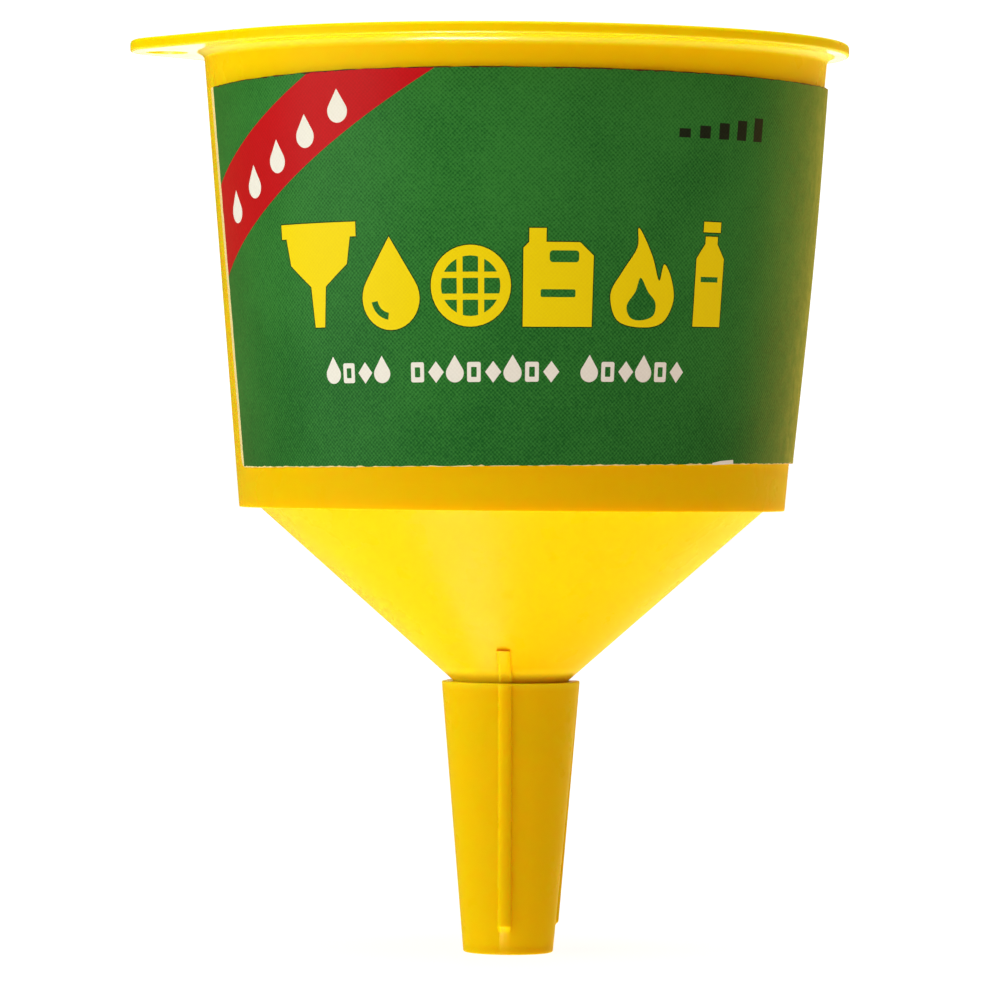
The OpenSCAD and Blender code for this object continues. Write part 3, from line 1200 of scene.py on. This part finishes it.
# In the order of the label's colour numbers, from GREEN to SHADE.
for material in (
    print_material("ink_green", (0.036, 0.255, 0.042, 1), (0.003, 0.110, 0.016, 1)),
    print_material("ink_red", (0.62, 0.002, 0.010, 1), (0.48, 0.001, 0.006, 1), 0.3),
    print_material("ink_yellow", (1.0, 0.82, 0.001, 1), (0.94, 0.74, 0.0005, 1), 0.3),
    print_material("ink_white", (0.96, 0.98, 1.0, 1), (0.88, 0.90, 0.92, 1), 0.3),
    print_material("ink_black", (0.010, 0.022, 0.010, 1), (0.003, 0.006, 0.003, 1), 0.4),
    core_material(),
    # Painted shade along the label's top edge.
    print_material("ink_painted_top_shade", (0.09, 0.02, 0.008, 1), (0.03, 0.008, 0.004, 1), 0.5),
    print_material("ink_trap", (0.014, 0.07, 0.012, 1), (0.006, 0.04, 0.006, 1), 0.5),
):
    label.data.materials.append(material)

# ---- Floor, backdrop and light ------------------------------------------------------------------------

TABLE_GLOW = (0.90, 0.65, 0.48, 1)
HORIZON_GLOW = (0.40, 0.24, 0.06, 1)
CEILING_GLOW = (0.07, 0.065, 0.05, 1)
# The glow by the height of its direction, where -1 is straight down and 1 straight up.
GLOW_STEPS = ((-0.35, TABLE_GLOW), (-0.02, HORIZON_GLOW), (0.02, CEILING_GLOW))
BACKDROP_STRENGTH = 1.2
OBJECT_MIDDLE = Vector((0, 0, 0.07))


def make_floor():
    """A plain white table that only the camera sees: the world's glow stands for the light it would give."""
    size = 40.0
    mesh = bpy.data.meshes.new("floor")
    corners = [(-size, -size, 0), (size, -size, 0), (size, size, 0), (-size, size, 0)]
    mesh.from_pydata(corners, [], [(0, 1, 2, 3)])
    floor = bpy.data.objects.new("floor", mesh)
    bpy.context.scene.collection.objects.link(floor)
    for kind in ("diffuse", "glossy", "transmission", "volume_scatter", "shadow"):
        setattr(floor, "visible_" + kind, False)
    nodes = Nodes("white_table")
    shader = nodes.shader
    pale = nodes.mix(nodes.noise(3, 2), (0.15, 0.15, 0.15, 1), (0.17, 0.17, 0.17, 1))
    nodes.link(pale, shader.inputs["Base Color"])
    shader.inputs["Roughness"].default_value = 0.6
    shader.inputs["Emission Color"].default_value = (1, 1, 1, 1)
    away = nodes.add("ShaderNodeVectorMath", operation="LENGTH")
    nodes.link(nodes.place, away.inputs[0])
    nodes.link(nodes.spread(away.outputs["Value"], 0.3, 1.5, 0.92, 1.02), shader.inputs["Emission Strength"])
    mesh.materials.append(nodes.material)


def make_world():
    """White behind the object; round it, a warm glow from the table's side and next to nothing from above."""
    world = bpy.data.worlds.new("studio")
    bpy.context.scene.world = world
    world.use_nodes = True
    tree = world.node_tree
    tree.nodes.clear()
    output = tree.nodes.new("ShaderNodeOutputWorld")
    mix = tree.nodes.new("ShaderNodeMixShader")
    ray = tree.nodes.new("ShaderNodeLightPath")
    fill = tree.nodes.new("ShaderNodeBackground")
    white = tree.nodes.new("ShaderNodeBackground")
    white.inputs["Color"].default_value = (1, 1, 1, 1)
    white.inputs["Strength"].default_value = BACKDROP_STRENGTH
    place = tree.nodes.new("ShaderNodeTexCoord")
    split = tree.nodes.new("ShaderNodeSeparateXYZ")
    tree.links.new(place.outputs["Generated"], split.inputs["Vector"])
    ramp = tree.nodes.new("ShaderNodeValToRGB")
    half = tree.nodes.new("ShaderNodeMapRange")
    half.inputs["From Min"].default_value = -1.0
    tree.links.new(split.outputs["Z"], half.inputs["Value"])
    tree.links.new(half.outputs["Result"], ramp.inputs["Fac"])
    while len(ramp.color_ramp.elements) > 1:
        ramp.color_ramp.elements.remove(ramp.color_ramp.elements[0])
    lowest = ramp.color_ramp.elements[0]
    lowest.position = (1 + GLOW_STEPS[0][0]) / 2
    lowest.color = GLOW_STEPS[0][1]
    for z, colour in GLOW_STEPS[1:]:
        ramp.color_ramp.elements.new((1 + z) / 2).color = colour
    tree.links.new(ramp.outputs["Color"], fill.inputs["Color"])
    tree.links.new(ray.outputs["Is Camera Ray"], mix.inputs[0])
    tree.links.new(fill.outputs[0], mix.inputs[1])
    tree.links.new(white.outputs[0], mix.inputs[2])
    tree.links.new(mix.outputs[0], output.inputs["Surface"])


def soft_light(name, place, width, power, shape="SQUARE", spread=180, colour=(1, 1, 1)):
    """A soft box that faces the middle of the object."""
    data = bpy.data.lights.new(name, "AREA")
    data.shape = shape
    data.spread = math.radians(spread)
    data.size = width
    data.energy = power
    data.color = colour
    light = bpy.data.objects.new(name, data)
    bpy.context.scene.collection.objects.link(light)
    light.location = place
    towards = OBJECT_MIDDLE - Vector(place)
    light.rotation_mode = "QUATERNION"
    light.rotation_quaternion = towards.to_track_quat("-Z", "Y")
    light.visible_camera = False
    return light


make_floor()
make_world()
# Places and widths are in metres and powers in watts.
soft_light("key", (-0.91, -0.38, 0.38), 0.9, 4.9, colour=(0.94, 1.10, 0.95))
soft_light("top", (0.0, -0.1, 1.1), 0.9, 12.0)
soft_light("underside_card", (0.0, 1.5, 0.016), 0.3, 0.36)
soft_light("light_table", (-0.10, 0.09, -0.47), 0.15, 0.55)
soft_light("low_front", (-0.05, -0.30, -0.35), 0.3, 0.30, colour=(0.9, 1.05, 0.9))
# These two show only as reflections: at the label's right edge, and along the foot of the flange.
warm_card = soft_light("warm_card", (0.386, 0.46, 0.03), 0.75, 2.3, colour=(1.0, 0.63, 0.06))
warm_card.visible_diffuse = False
glint_card = soft_light("glint_card", (-0.095, -0.14, -0.215), 0.16, 1.1)
glint_card.visible_diffuse = False
# This one lights, but never shows as a reflection.
glow = soft_light("table_glow", (0.0, -0.002, 0.001), 0.3, 0.12, "DISK", 75)
glow.visible_glossy = False

bpy.context.scene.view_settings.view_transform = "Standard"
